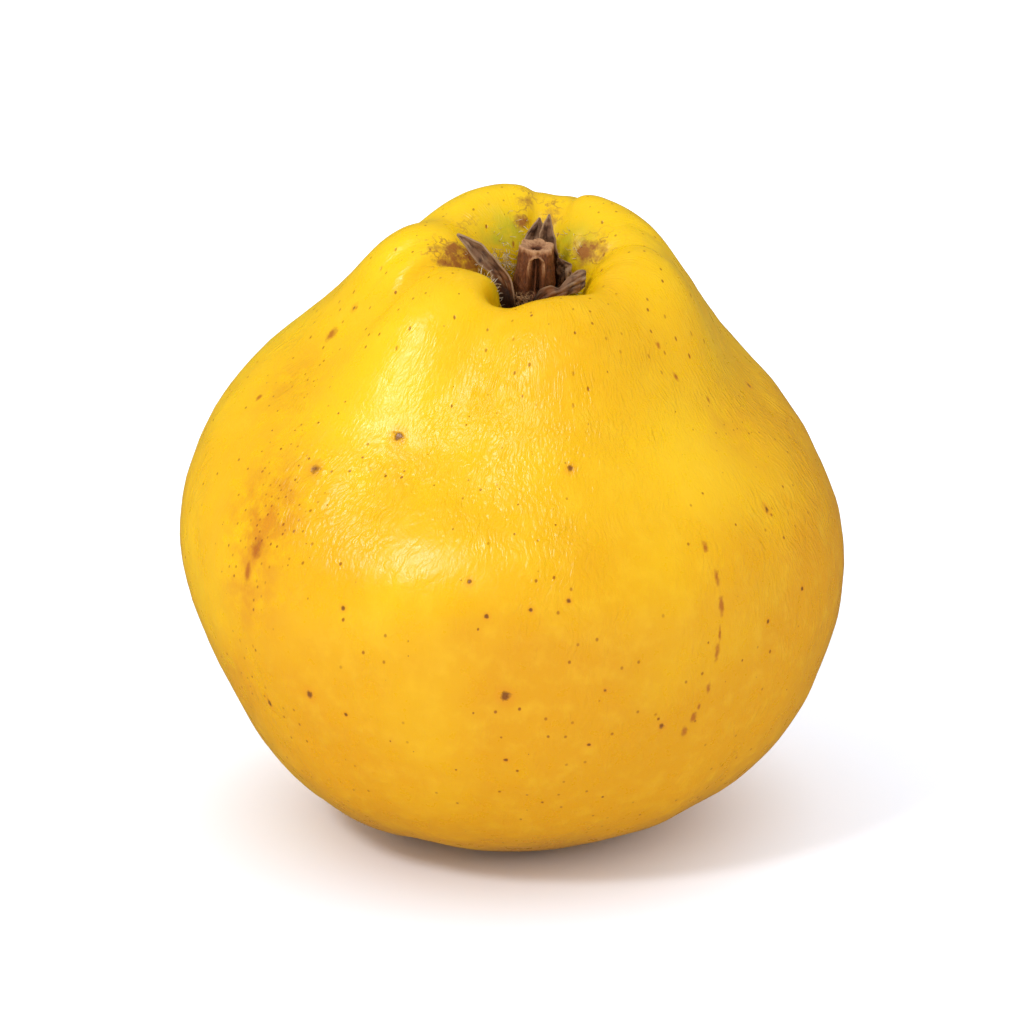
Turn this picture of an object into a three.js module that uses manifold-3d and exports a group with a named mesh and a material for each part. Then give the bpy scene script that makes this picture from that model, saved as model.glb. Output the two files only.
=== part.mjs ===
// A quince standing on its stalk end: one ribbed, lop-sided fruit with a deep basin in its crown.
// In the basin stand a short woody stub, five dried sepals and what is left of the stamens.
// A stump of stalk sits in the dimple underneath. Millimetres, +Z up, and the front faces -Y.
// The origin is on the surface that the fruit rests on, at the middle of its outline.

import * as THREE from "three";
import { mergeVertices } from "three/addons/utils/BufferGeometryUtils.js";
import Module from "manifold-3d";

const wasm = await Module();
wasm.setup();

// Driving dimensions.
const EQUATOR_RADIUS = 45; // half of the fruit's width
const CROWN_HEIGHT = 82; // height of the basin's rim before the ribs raise it
const BASIN_DEPTH = 9.5; // from that rim to the basin's floor
const LEAN = 11; // degrees that the crown leans forward, towards -Y
const RIM_SLOPE = 0.22; // the rim rises this much for each millimetre towards the back
const DRIFT = 3; // and how far the basin is off to the right
const GAP = 0.3; // clearance between pieces that touch

const FRUIT_SEGMENTS = 72; // round the axis
const FRUIT_RINGS = 46; // from the underside's dimple to the basin's floor

const degrees = THREE.MathUtils.degToRad;
const smoothstep = THREE.MathUtils.smoothstep;

// ---------------------------------------------------------------- fruit

// Half of the fruit's section as [share of the equator's radius, share of the crown's height],
// from the dimple underneath, round the belly, over the rim and down to the basin's floor.
const BASIN_FLOOR = 1 - BASIN_DEPTH / CROWN_HEIGHT;
const section = new THREE.SplineCurve(
  [
    [0.0, 0.06],
    [0.07, 0.052],
    [0.155, 0.018],
    [0.28, -0.004],
    [0.41, 0.01],
    [0.6, 0.054],
    [0.8, 0.143],
    [0.94, 0.28],
    [1.0, 0.446],
    [0.96, 0.595],
    [0.84, 0.72],
    [0.673, 0.815],
    [0.53, 0.9],
    [0.42, 0.963],
    [0.315, 0.996],
    [0.24, 0.988],
    [0.18, 0.952],
    [0.142, 0.912],
    [0.11, BASIN_FLOOR + 0.01],
    [0.06, BASIN_FLOOR],
    [0.0, BASIN_FLOOR],
  ].map(([r, z]) => new THREE.Vector2(r * EQUATOR_RADIUS, z * CROWN_HEIGHT)),
);

// Swellings and hollows on that section. turn is the azimuth in degrees from +X (the right),
// with the front at 270; at is a place on the section; out is in millimetres, along the skin's normal.
const swellings = [
  // ribs round the crown
  { turn: 112, at: 0.68, out: 1.4, wide: 26, long: 0.09 },
  { turn: 50, at: 0.7, out: 0.8, wide: 22, long: 0.08 },
  { turn: 172, at: 0.66, out: 2.6, wide: 20, long: 0.08 },
  { turn: 216, at: 0.63, out: 2.3, wide: 20, long: 0.12 },
  { turn: 285, at: 0.62, out: 1.8, wide: 28, long: 0.13 },
  { turn: 350, at: 0.69, out: 1.2, wide: 22, long: 0.07 },
  // furrows between them
  { turn: 247, at: 0.66, out: -1.6, wide: 14, long: 0.12 },
  { turn: 196, at: 0.64, out: -1.0, wide: 9, long: 0.08 },
  { turn: 146, at: 0.7, out: -0.7, wide: 9, long: 0.08 },
  { turn: 80, at: 0.7, out: -0.8, wide: 10, long: 0.08 },
  { turn: 14, at: 0.66, out: -0.9, wide: 12, long: 0.08 },
  { turn: 322, at: 0.64, out: -0.8, wide: 16, long: 0.1 },
  // the ribs bulge into the basin too, and part in creases
  { turn: 112, at: 0.81, out: 1.5, wide: 22, long: 0.05 },
  { turn: 45, at: 0.81, out: 1.7, wide: 22, long: 0.05 },
  { turn: 172, at: 0.81, out: 1.2, wide: 18, long: 0.05 },
  { turn: 216, at: 0.8, out: 2.2, wide: 17, long: 0.05 },
  { turn: 285, at: 0.8, out: 1.0, wide: 20, long: 0.05 },
  { turn: 350, at: 0.8, out: 1.2, wide: 18, long: 0.05 },
  // the neck is hollow on the right, and the left shoulder is full
  { turn: 0, at: 0.54, out: -3.4, wide: 36, long: 0.07 },
  { turn: 180, at: 0.5, out: 2.4, wide: 36, long: 0.08 },
  // the belly is flat low on the left, and full on the right
  { turn: 186, at: 0.335, out: -2.4, wide: 36, long: 0.05 },
  { turn: 352, at: 0.4, out: 0.6, wide: 36, long: 0.07 },
  // furrows underneath, which part the flats that it rests on
  { turn: 20, at: 0.17, out: -1.2, wide: 10, long: 0.06 },
  { turn: 95, at: 0.17, out: -1.0, wide: 10, long: 0.06 },
  { turn: 165, at: 0.17, out: -1.1, wide: 12, long: 0.06 },
  { turn: 241, at: 0.19, out: -1.3, wide: 9, long: 0.06 },
  { turn: 302, at: 0.19, out: -1.2, wide: 9, long: 0.06 },
];

// How far the skin stands out from the plain section at a place on it.
function swell(turn, at) {
  let out = 0;
  for (const s of swellings) {
    const round = THREE.MathUtils.euclideanModulo(turn - s.turn + 180, 360) - 180;
    out += s.out * Math.exp(-((round / s.wide) ** 2) - ((at - s.at) / s.long) ** 2);
  }
  return out;
}

// A point of the skin. Ribs fade to nothing at both ends of the axis.
function skin(turn, at) {
  const p = section.getPoint(at);
  const along = section.getTangent(at);
  const out = swell(turn, at) * smoothstep(p.x, 0, 5);
  const radius = p.x + out * along.y;
  const height = p.y - out * along.x;
  const angle = degrees(turn);
  const point = new THREE.Vector3(radius * Math.cos(angle), radius * Math.sin(angle), height);
  return leaned(point);
}

// The crown leans forward and to the right, its rim is highest at the back, and the base is upright.
function leaned(point) {
  const crown = smoothstep(point.z, 0.5 * CROWN_HEIGHT, CROWN_HEIGHT);
  const turned = smoothstep(point.z, 0.15 * CROWN_HEIGHT, CROWN_HEIGHT);
  const pivot = new THREE.Vector3(0, 0, 0.4 * CROWN_HEIGHT);
  point.z += RIM_SLOPE * point.y * crown;
  point.x += DRIFT * crown;
  return point.sub(pivot).applyAxisAngle(new THREE.Vector3(1, 0, 0), degrees(LEAN) * turned).add(pivot);
}

// A closed skin over a grid of points: rings of the same length, with a pole at each end.
function ringSkin(rings, firstPole, lastPole) {
  const positions = [firstPole, ...rings.flat(), lastPole].flatMap((p) => [p.x, p.y, p.z]);
  const n = rings[0].length;
  const last = 1 + rings.length * n;
  const faces = [];
  for (let j = 0; j < n; j++) {
    const k = (j + 1) % n;
    faces.push(0, 1 + k, 1 + j);
    for (let i = 0; i + 1 < rings.length; i++) {
      const a = 1 + i * n;
      const b = a + n;
      faces.push(a + j, a + k, b + k, a + j, b + k, b + j);
    }
    faces.push(last, last - n + j, last - n + k);
  }
  const geometry = new THREE.BufferGeometry();
  geometry.setAttribute("position", new THREE.Float32BufferAttribute(positions, 3));
  geometry.setIndex(faces);
  return geometry;
}

function fruitGeometry() {
  const rings = [];
  for (let i = 1; i < FRUIT_RINGS; i++) {
    const ring = [];
    for (let j = 0; j < FRUIT_SEGMENTS; j++) {
      const p = skin((360 * j) / FRUIT_SEGMENTS, i / FRUIT_RINGS);
      p.z = Math.max(p.z, 0); // the flats that it rests on
      ring.push(p);
    }
    rings.push(ring);
  }
  return ringSkin(rings, skin(0, 0), skin(0, 1));
}

// ---------------------------------------------------------------- dried calyx

const STUB_HEIGHT = 9.3;
const STUB_FOOT_RADIUS = 2.7;
const STUB_TOP_RADIUS = 2.3;
const SEPAL_THICKNESS = 0.4;
const SEPAL_STEPS = 14; // along a sepal
const SEPAL_STRIPS = 6; // and across it

// A geometry as a manifold-3d solid, its shared vertices merged.
function solid(geometry) {
  geometry.deleteAttribute("normal");
  geometry.deleteAttribute("uv");
  const merged = mergeVertices(geometry, 1e-4);
  const vertProperties = merged.attributes.position.array;
  const triVerts = new Uint32Array(merged.index.array);
  return new wasm.Manifold(new wasm.Mesh({ numProp: 3, vertProperties, triVerts }));
}

function geometryOf(manifold) {
  const mesh = manifold.getMesh();
  const geometry = new THREE.BufferGeometry();
  geometry.setAttribute("position", new THREE.BufferAttribute(mesh.vertProperties, 3));
  geometry.setIndex(new THREE.BufferAttribute(mesh.triVerts, 1));
  return geometry;
}

// The woody stub: six-sided and tapering, with a pith hole in its top and a niche split out of its front.
function stubGeometry() {
  const pithRadius = 0.45;
  const pithDepth = 2.5;
  const nicheRadius = 1.05;
  const nicheDepth = 1.1;
  const profile = [
    [0, 0],
    [STUB_FOOT_RADIUS, 0],
    [STUB_FOOT_RADIUS * 0.96, 0.5 * STUB_HEIGHT],
    [STUB_TOP_RADIUS, 0.86 * STUB_HEIGHT],
    [STUB_TOP_RADIUS * 0.94, STUB_HEIGHT],
    [STUB_TOP_RADIUS * 0.5, 0.965 * STUB_HEIGHT],
    [0, 0.965 * STUB_HEIGHT],
  ].map(([r, z]) => new THREE.Vector2(r, z));
  const body = new THREE.LatheGeometry(profile, 6).rotateX(Math.PI / 2);
  const pith = new THREE.CylinderGeometry(pithRadius, pithRadius, 2 * pithDepth, 10)
    .rotateX(Math.PI / 2)
    .translate(0, 0, STUB_HEIGHT);
  const niche = new THREE.CapsuleGeometry(nicheRadius, 0.55 * STUB_HEIGHT, 4, 12)
    .rotateX(Math.PI / 2)
    .translate(0, -STUB_FOOT_RADIUS - nicheRadius + nicheDepth, 0.4 * STUB_HEIGHT);
  return geometryOf(solid(body).subtract(solid(pith)).subtract(solid(niche)));
}

// A dried sepal: a thin blade on a spine. edge holds, for each point of the spine, the vector from it
// to the blade's edge, so it sets both width and twist. cup lifts the edges out of the blade's plane.
function sepalGeometry({ spine, edge, cup }) {
  const vectors = (points) => points.map((p) => new THREE.Vector3(...p));
  const middle = new THREE.CatmullRomCurve3(vectors(spine));
  const reach = new THREE.CatmullRomCurve3(vectors(edge));
  const rings = [];
  for (let i = 0; i <= SEPAL_STEPS; i++) {
    const t = i / SEPAL_STEPS;
    const centre = middle.getPoint(t);
    const across = reach.getPoint(t);
    const up = new THREE.Vector3().crossVectors(across, middle.getTangent(t)).normalize();
    const place = (share, side) =>
      centre
        .clone()
        .addScaledVector(across, share)
        .addScaledVector(up, cup * share ** 2 * across.length() + (side * SEPAL_THICKNESS) / 2);
    const shares = Array.from({ length: SEPAL_STRIPS }, (_, j) => -1 + (2 * j) / SEPAL_STRIPS);
    rings.push([...shares.map((s) => place(-s, -1)), ...shares.map((s) => place(s, 1))]);
  }
  return ringSkin(rings, middle.getPoint(0), middle.getPoint(1));
}

// A matted tuft of withered stamens.
function tuftGeometry([x, y, z]) {
  const geometry = new THREE.IcosahedronGeometry(1, 2);
  geometry.scale(x, y, z);
  return geometryOf(solid(geometry));
}

function piece(name, geometry, color, roughness) {
  const mesh = new THREE.Mesh(geometry, new THREE.MeshStandardMaterial({ color, roughness, metalness: 0 }));
  mesh.name = name;
  return mesh;
}

// Spines run from foot to tip in the calyx's own frame.
const sepals = {
  sepal_left: {
    spine: [[-3.1, -1.6, 0.8], [-3.6, -1.6, 4], [-4.6, -1.1, 6.4], [-6.2, -0.3, 8.2], [-8.1, 0.6, 9.9], [-9.9, 1.3, 11.2]],
    edge: [[0.7, -0.6, 0.1], [1.2, -0.7, 0.1], [1.1, -0.2, 0.5], [0.9, 0, 1], [0.45, 0, 0.6], [0.05, 0, 0.06]],
    cup: 0.25,
  },
  sepal_back_left: {
    spine: [[-0.6, 3.2, 1.6], [-0.5, 3.6, 4.5], [-0.2, 4.2, 8.5], [0.6, 4.3, 12.3]],
    edge: [[1.1, 0.1, 0], [1.8, 0.2, 0], [1.4, 0.1, 0.1], [0.08, 0, 0]],
    cup: 0.2,
  },
  sepal_back_right: {
    spine: [[2.5, 2.5, 1.6], [2.8, 3, 4.5], [2.4, 3, 7.5], [2.2, 2.8, 9.9], [2.1, 2.4, 13.4]],
    edge: [[0.7, -0.6, 0], [1, -0.5, 0], [1.1, -0.3, 0.1], [0.9, -0.2, 0.1], [0.06, 0, 0]],
    cup: 0.2,
  },
  sepal_right: {
    spine: [[3.4, 0.2, 1.1], [3.9, 0.5, 3], [3.9, 0.8, 5.8], [3.4, 1.1, 7.8]],
    edge: [[0.2, -0.9, 0], [0.4, -1.1, 0], [0.5, -0.8, 0.2], [0.1, -0.2, 0]],
    cup: -0.3,
  },
  sepal_front_right: {
    spine: [[0.4, -3.9, 2], [0.9, -4.3, 4.2], [2.7, -4.1, 5], [4.6, -3.5, 5.7], [6.9, -2.6, 6.5]],
    edge: [[-0.6, 0.1, 0.4], [-0.5, 0.2, 0.8], [-0.1, 0.3, 0.8], [-0.1, 0.6, 1.2], [0, 0.3, 0.5]],
    cup: 0.3,
  },
};

// Where the stamens' tufts lie, and their half lengths.
const tufts = {
  stamen_tuft_left: { at: [-3.2, 3.3, 6.4], size: [1.2, 0.6, 1.2] },
  stamen_tuft_front: { at: [-1.3, -4, 4.2], size: [0.9, 0.6, 0.8] },
};

const quince = new THREE.Group();
quince.add(piece("fruit", fruitGeometry(), 0xf2bd16, 0.42));

// The calyx's own frame: its origin on the basin's floor, and +Z along the leaning axis.
const calyx = new THREE.Group();
calyx.position.copy(skin(0, 1));
calyx.rotation.x = degrees(LEAN);
const stub = piece("woody_stub", stubGeometry(), 0x6e4a36, 0.75);
stub.position.z = 3 * GAP;
stub.rotation.y = degrees(3);
calyx.add(stub);
for (const [name, shape] of Object.entries(sepals)) {
  calyx.add(piece(name, sepalGeometry(shape), 0x6b5647, 0.85));
}
for (const [name, { at, size }] of Object.entries(tufts)) {
  const tuft = piece(name, tuftGeometry(size), 0xa58a62, 0.9);
  tuft.position.set(...at);
  calyx.add(tuft);
}
quince.add(calyx);

// The stump of stalk in the dimple underneath, clear of the surface that the fruit stands on.
const STALK_RADIUS = 1.9;
const STALK_LENGTH = 3.2;
const stalk = new THREE.CylinderGeometry(STALK_RADIUS, 0.8 * STALK_RADIUS, STALK_LENGTH, 12).rotateX(Math.PI / 2);
const stalkStump = piece("stalk_stump", geometryOf(solid(stalk)), 0x5e4430, 0.85);
stalkStump.position.z = skin(0, 0).z - 2 * GAP - STALK_LENGTH / 2;
quince.add(stalkStump);

// The origin goes under the middle of the outline.
const outline = new THREE.Box3().setFromObject(quince, true);
const middle = outline.getCenter(new THREE.Vector3());
for (const child of quince.children) child.position.sub(new THREE.Vector3(middle.x, middle.y, outline.min.z));

export default quince;
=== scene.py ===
"""A ripe quince on a white table, seen from a little above its equator.

The fruit stands on its stalk end. Its ribbed crown leans towards the viewer, and in the basin stand a
woody stub, five dried sepals and the withered stamens. Lengths are in millimetres unless a name says
metres; the shared frame has +Z up, the front facing -Y, and its origin under the fruit.
"""

import logging
import math
import random
from collections.abc import Mapping, Sequence
from dataclasses import dataclass
from enum import Enum
from typing import Any

import bmesh
import bpy
from mathutils import Matrix, Vector, noise
from mathutils.bvhtree import BVHTree


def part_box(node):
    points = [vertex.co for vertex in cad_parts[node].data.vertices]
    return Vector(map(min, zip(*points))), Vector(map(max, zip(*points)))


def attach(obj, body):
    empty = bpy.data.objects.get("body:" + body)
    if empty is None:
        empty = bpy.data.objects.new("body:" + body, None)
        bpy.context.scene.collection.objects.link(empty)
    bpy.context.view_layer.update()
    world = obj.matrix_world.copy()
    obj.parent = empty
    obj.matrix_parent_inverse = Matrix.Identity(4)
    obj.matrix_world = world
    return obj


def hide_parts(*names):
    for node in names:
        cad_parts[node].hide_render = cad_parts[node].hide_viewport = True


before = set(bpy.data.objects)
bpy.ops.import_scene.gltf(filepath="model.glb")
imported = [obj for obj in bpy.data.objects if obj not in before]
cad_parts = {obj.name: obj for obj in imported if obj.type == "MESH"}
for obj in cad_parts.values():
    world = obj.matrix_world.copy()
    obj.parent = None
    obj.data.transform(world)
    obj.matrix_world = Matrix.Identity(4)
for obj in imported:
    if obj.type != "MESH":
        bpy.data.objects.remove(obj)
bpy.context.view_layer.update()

MM = 0.001  # metres in a millimetre
BODY = "root"
SEED = 7
GRAIN_RADIUS = 34.0  # of the cylinder that the skin's grain is laid out on
WELD = 0.004  # millimetres, within which a spun form's points are one

CALYX_LEAN = math.radians(11)  # the calyx leans forward, towards -Y
STUB_ROLL = math.radians(3)  # and its stub a little to the right
STUB_HEIGHT = 9.3
STUB_LIFT = 0.9  # from the basin's floor to the stub's foot

log = logging.getLogger("quince")


class Slot(Enum):
    """The record's material slots."""

    SKIN = "skin"
    BARK = "bark"
    SEPAL = "dried_sepal"
    STAMEN = "withered_stamen"


# ---------------------------------------------------------------- small helpers


def smoothstep(low: float, high: float, value: float) -> float:
    """Return 0 below low, 1 above high and a smooth curve between them."""
    t = min(1.0, max(0.0, (value - low) / (high - low)))
    return t * t * (3.0 - 2.0 * t)


def bump(value: float, centre: float, width: float) -> float:
    """Return a bell that is 1 at the centre and fades over the width."""
    return math.exp(-(((value - centre) / width) ** 2))


def turn_between(turn: float, other: float) -> float:
    """Return how far round one azimuth is from another, in degrees from -180 to 180."""
    return (turn - other + 180.0) % 360.0 - 180.0


def along(points: Sequence[Sequence[float]], t: float) -> Vector:
    """Return a point on the smooth curve through some points.

    Args:
        points: The points that the curve goes through, evenly spread in t.
        t: The place on the curve, from 0 at the first point to 1 at the last.

    Returns:
        The point, in the units of the points.
    """
    knots = [Vector(p) for p in points]
    spot = min(max(t, 0.0), 1.0) * (len(knots) - 1)
    i = min(int(spot), len(knots) - 2)
    f = spot - i
    b, c = knots[i], knots[i + 1]
    a = knots[i - 1] if i else 2 * b - c
    d = knots[i + 2] if i + 2 < len(knots) else 2 * c - b
    return 0.5 * (2 * b + (c - a) * f + (2 * a - 5 * b + 4 * c - d) * f**2 + (3 * b - a - 3 * c + d) * f**3)


def linear_colour(code: str) -> tuple[float, float, float, float]:
    """Turn an sRGB hex colour into a linear one.

    Args:
        code: The colour, such as "#f2bd16".

    Returns:
        Its linear red, green and blue, and an alpha of 1.
    """
    channels = [int(code[i : i + 2], 16) / 255 for i in (1, 3, 5)]
    linear = [c / 12.92 if c <= 0.04045 else ((c + 0.055) / 1.055) ** 2.4 for c in channels]
    return (*linear, 1.0)


def add_node(
    tree: bpy.types.NodeTree, kind: str, inputs: Mapping[str | int, Any] | None = None, **settings: Any
) -> bpy.types.Node:
    """Add a shader node with its settings, and fill or link its inputs.

    Args:
        tree: The node tree that the node goes into.
        kind: The node's Blender type without its "ShaderNode" prefix.
        inputs: What each input gets, by its name or number: a value, a socket, or a node whose first
            output is used.
        settings: The node's own properties.

    Returns:
        The new node.
    """
    node = tree.nodes.new("ShaderNode" + kind)
    for name, value in settings.items():
        setattr(node, name, value)
    for key, value in (inputs or {}).items():
        by_name = [s for s in node.inputs if s.enabled and s.name == key]
        socket = node.inputs[key] if isinstance(key, int) else by_name[0]
        if isinstance(value, bpy.types.Node):
            value = next(s for s in value.outputs if s.enabled)
        if isinstance(value, bpy.types.NodeSocket):
            tree.links.new(value, socket)
        else:
            socket.default_value = value
    return node


def new_material(name: str) -> tuple[bpy.types.Material, bpy.types.NodeTree]:
    """Make a material without any nodes.

    Args:
        name: The material's name.

    Returns:
        The material and its empty node tree.
    """
    material = bpy.data.materials.new(name)
    material.use_nodes = True
    material.node_tree.nodes.clear()
    return material, material.node_tree


def new_piece(name: str, mesh: bmesh.types.BMesh, smooth: bool = True) -> bpy.types.Object:
    """Turn a bmesh into an object at the origin, and free the bmesh.

    Args:
        name: The object's name.
        mesh: Its shape, in metres.
        smooth: Whether its faces are shaded as one smooth surface.

    Returns:
        The object, linked to the scene.
    """
    bmesh.ops.recalc_face_normals(mesh, faces=mesh.faces)
    data = bpy.data.meshes.new(name)
    mesh.to_mesh(data)
    mesh.free()
    data.polygons.foreach_set("use_smooth", [smooth] * len(data.polygons))
    piece = bpy.data.objects.new(name, data)
    bpy.context.scene.collection.objects.link(piece)
    return piece


def apply_modifiers(piece: bpy.types.Object) -> None:
    """Make what a piece's modifiers show its own mesh, and drop the modifiers.

    Args:
        piece: The object, which keeps its place and its name.
    """
    graph = bpy.context.evaluated_depsgraph_get()
    piece.data = bpy.data.meshes.new_from_object(piece.evaluated_get(graph))
    piece.modifiers.clear()


def subdivide(piece: bpy.types.Object, levels: int) -> None:
    """Smooth a piece with a subdivision surface and apply it.

    Args:
        piece: The object.
        levels: How many times each face is split in four.
    """
    modifier = piece.modifiers.new("Subdivision", "SUBSURF")
    modifier.levels = modifier.render_levels = levels
    apply_modifiers(piece)
    piece.data.polygons.foreach_set("use_smooth", [True] * len(piece.data.polygons))


def finish_piece(piece: bpy.types.Object, material: bpy.types.Material, slot: Slot, *nodes: str) -> None:
    """Dress a finished piece, let it ride on the body and let it stand for CAD nodes.

    Args:
        piece: The finished object, at the origin.
        material: Its finish.
        slot: The record's material slot that the finish belongs to; it is not used.
        nodes: The CAD nodes that it replaces.
    """
    piece.data.materials.clear()
    piece.data.materials.append(material)
    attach(piece, BODY)
    if nodes:
        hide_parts(*nodes)
    log.info("%s: %d faces", piece.name, len(piece.data.polygons))


# ---------------------------------------------------------------- finishes


@dataclass(frozen=True)
class OnSide:
    """A place on the fruit's outside, where a level line from outside meets it."""

    turn: float  # azimuth in degrees from +X, with the front at 270
    height: float  # above the table

    def line(self) -> tuple[Vector, Vector]:
        """Return where the line starts, in millimetres, and which way it goes."""
        angle = math.radians(self.turn)
        outward = Vector((math.cos(angle), math.sin(angle), 0))
        return outward * 80 + Vector((0, 0, self.height)), -outward


@dataclass(frozen=True)
class OnCrown:
    """A place on the crown or in its basin, straight under a point beside the calyx."""

    x: float  # to the right of the stub's foot
    y: float  # behind the stub's foot

    def line(self) -> tuple[Vector, Vector]:
        """Return where the line starts, in millimetres, and which way it goes."""
        foot = calyx_frame().translation / MM
        return Vector((foot.x + self.x, foot.y + self.y, 120)), Vector((0, 0, -1))


@dataclass(frozen=True)
class Mark:
    """A small spot or scar on the skin."""

    place: OnSide | OnCrown
    radius: float
    stretch: float = 1.0  # how many times taller than wide it is


@dataclass(frozen=True)
class Patch:
    """A soft-edged area of the skin that is tinted."""

    place: OnSide | OnCrown
    radius: float
    strength: float = 1.0


@dataclass(frozen=True)
class QuinceSkin:
    """Waxy quince skin: yellow over firm flesh, with pores, russet and scars.

    It gives the eye a silky, finely wrinkled yellow, green in the basin, freckled with brown pores.
    Gaps and sizes are in millimetres.
    """

    yellow: str = "#f4c704"
    # deep: riper skin, and painted shade low down, at the front and on the right
    deep: str = "#dd9a02"
    pale: str = "#f8ca14"
    green: str = "#b2ac12"
    bronze: str = "#cc780a"
    smear: str = "#96501c"
    pore: str = "#94460c"
    halo: str = "#dc8412"
    spot: str = "#70391c"
    scar: str = "#ad5c14"
    wrinkle: float = 0.95  # across a wrinkle
    sway: float = 7.0  # along which the wrinkles bend
    patchy: float = 15.0  # across which they grow deeper and shallower
    pore_gap: float = 2.3
    speck_gap: float = 1.15
    crown_gap: float = 1.9
    pore_radius: float = 0.2
    speck_radius: float = 0.16
    dot_squash: float = 0.62  # of the layout's height, so that dots are taller than wide
    drift: float = 22.0  # across which the ripeness changes
    crowd: float = 16.0  # across which the pores come and go
    mottle: float = 3.0
    web: float = 2.2  # across a mesh of the net of smears
    flake: float = 1.4
    ragged: float = 0.7  # across a notch in a spot's outline
    crown_from: float = 62.0  # the pores are laid out on the crown above this height
    crown_to: float = 72.0

    def material(
        self, spots: Sequence[tuple[Vector, Mark]], scars: Sequence[tuple[Vector, Mark]]
    ) -> bpy.types.Material:
        """Build the skin's material, which reads the point attributes "tint" and "grain".

        Args:
            spots: Each dark spot with its place on the skin, in millimetres.
            scars: Each faint scar with its place.

        Returns:
            The material.
        """
        material, tree = new_material("waxy_quince_skin")
        place = add_node(
            tree,
            "VectorMath",
            {0: add_node(tree, "TexCoord").outputs["Object"], 3: 1 / MM},
            operation="SCALE",
        )
        grain = add_node(tree, "Attribute", attribute_name="grain").outputs["Vector"]
        painted = add_node(tree, "Attribute", attribute_name="tint")
        tint = add_node(tree, "SeparateColor", {"Color": painted.outputs["Color"]})
        green, russet, pale = (tint.outputs[n] for n in ("Red", "Green", "Blue"))
        smeared = painted.outputs["Alpha"]

        # Painted shade: the skin is painted a deeper, darker yellow low down, towards the front and a
        # little more on the right, where less light falls; the noise over it is real ripeness.
        side = add_node(tree, "VectorMath", {0: place, 1: (0.006, -0.003, -0.012)}, operation="DOT_PRODUCT")
        drift = add_node(tree, "TexNoise", {"Vector": place, "Scale": 1 / self.drift, "Detail": 3.0})
        side = side.outputs["Value"]
        drift = add_node(tree, "Math", {0: drift, 1: 1.3, 2: side}, operation="MULTIPLY_ADD")
        mottle = add_node(
            tree, "TexNoise", {"Vector": place, "Scale": 1 / self.mottle, "Detail": 4.0, "Roughness": 0.6}
        )
        ripe = add_node(tree, "MapRange", {"Value": drift, "From Min": -0.5, "From Max": 0.5})
        bleached = add_node(
            tree, "MapRange", {"Value": mottle, "From Min": 0.5, "From Max": 0.8, "To Max": 0.26}
        )
        greener = add_node(tree, "MapRange", {"Value": mottle, "From Min": 0.2, "From Max": 0.6})
        greener = add_node(tree, "Math", {0: green, 1: greener}, operation="MULTIPLY")

        # Russet: a bronze film over the skin, with brown specks crowded into it.
        film = add_node(
            tree, "MapRange", {"Value": mottle, "From Min": 0.3, "From Max": 0.6, "To Max": 0.9}
        )
        film = add_node(tree, "Math", {0: russet, 1: film}, operation="MULTIPLY")
        sides = self._unrolled(tree, grain)
        specks = self._dots(tree, sides, self.speck_gap, self.speck_radius, russet)
        pores = self._pores(tree, place, sides)
        smear = self._smear(tree, place, smeared)

        ragged = add_node(tree, "TexNoise", {"Vector": place, "Scale": 1 / self.ragged, "Detail": 2.0})
        spot_reach = self._reach(tree, place, ragged, spots)
        scar_reach = self._reach(tree, place, ragged, scars)
        halo, core, scar = (
            add_node(
                tree,
                "MapRange",
                {"Value": reach, "From Min": near, "From Max": far, "To Min": strength, "To Max": 0.0},
            )
            for reach, near, far, strength in (
                (spot_reach, 1.0, 2.8, 0.4),
                (spot_reach, 0.5, 1.2, 0.85),
                (scar_reach, 0.4, 1.5, 0.85),
            )
        )

        colour: Any = linear_colour(self.yellow)
        for amount, code in (
            # ripe: real ripeness, with painted shade low down, at the front and on the right
            (ripe, self.deep),
            (pale, self.pale),
            (bleached, self.pale),
            (greener, self.green),
            (film, self.bronze),
            (smear, self.smear),
            (specks, self.pore),
            (pores, self.pore),
            (scar, self.scar),
            (halo, self.halo),
            (core, self.spot),
        ):
            colour = add_node(
                tree, "Mix", {"Factor": amount, "A": colour, "B": linear_colour(code)}, data_type="RGBA"
            )

        relief = self._relief(tree, place, grain, mottle)
        for dent, depth in ((pores, -0.05), (specks, -0.03), (core, -0.12), (smear, 0.06)):
            relief = add_node(tree, "Math", {0: dent, 1: depth, 2: relief}, operation="MULTIPLY_ADD")
        normal = add_node(tree, "Bump", {"Height": relief, "Distance": MM, "Strength": 1.0})
        rough = add_node(
            tree,
            "MapRange",
            {"Value": mottle, "From Min": 0.3, "From Max": 0.7, "To Min": 0.25, "To Max": 0.36},
        )
        rough = add_node(tree, "Math", {0: smear, 1: 0.4, 2: rough}, operation="MULTIPLY_ADD")
        shader = add_node(
            tree,
            "BsdfPrincipled",
            {
                "Base Color": colour,
                "Roughness": rough,
                "IOR": 1.4,
                "Normal": normal,
                "Subsurface Weight": 0.12,
                "Subsurface Radius": (1.0, 0.6, 0.1),
                "Subsurface Scale": 1.5 * MM,
            },
        )
        add_node(tree, "OutputMaterial", {"Surface": shader})
        return material

    def _unrolled(self, tree: bpy.types.NodeTree, grain: Any) -> bpy.types.Node:
        """Lay the skin out flat.

        Args:
            tree: The material's nodes.
            grain: The point attribute "grain": a point on the layout's cylinder, and the place along it.

        Returns:
            A node whose X is the way round the skin and whose Y is the squashed way up, in millimetres.
        """
        parts = add_node(tree, "SeparateXYZ", {0: grain})
        turn = add_node(tree, "Math", {0: parts.outputs["Y"], 1: parts.outputs["X"]}, operation="ARCTAN2")
        across = add_node(tree, "Math", {0: turn, 1: GRAIN_RADIUS}, operation="MULTIPLY")
        up = add_node(tree, "Math", {0: parts.outputs["Z"], 1: self.dot_squash}, operation="MULTIPLY")
        return add_node(tree, "CombineXYZ", {"X": across, "Y": up})

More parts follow.
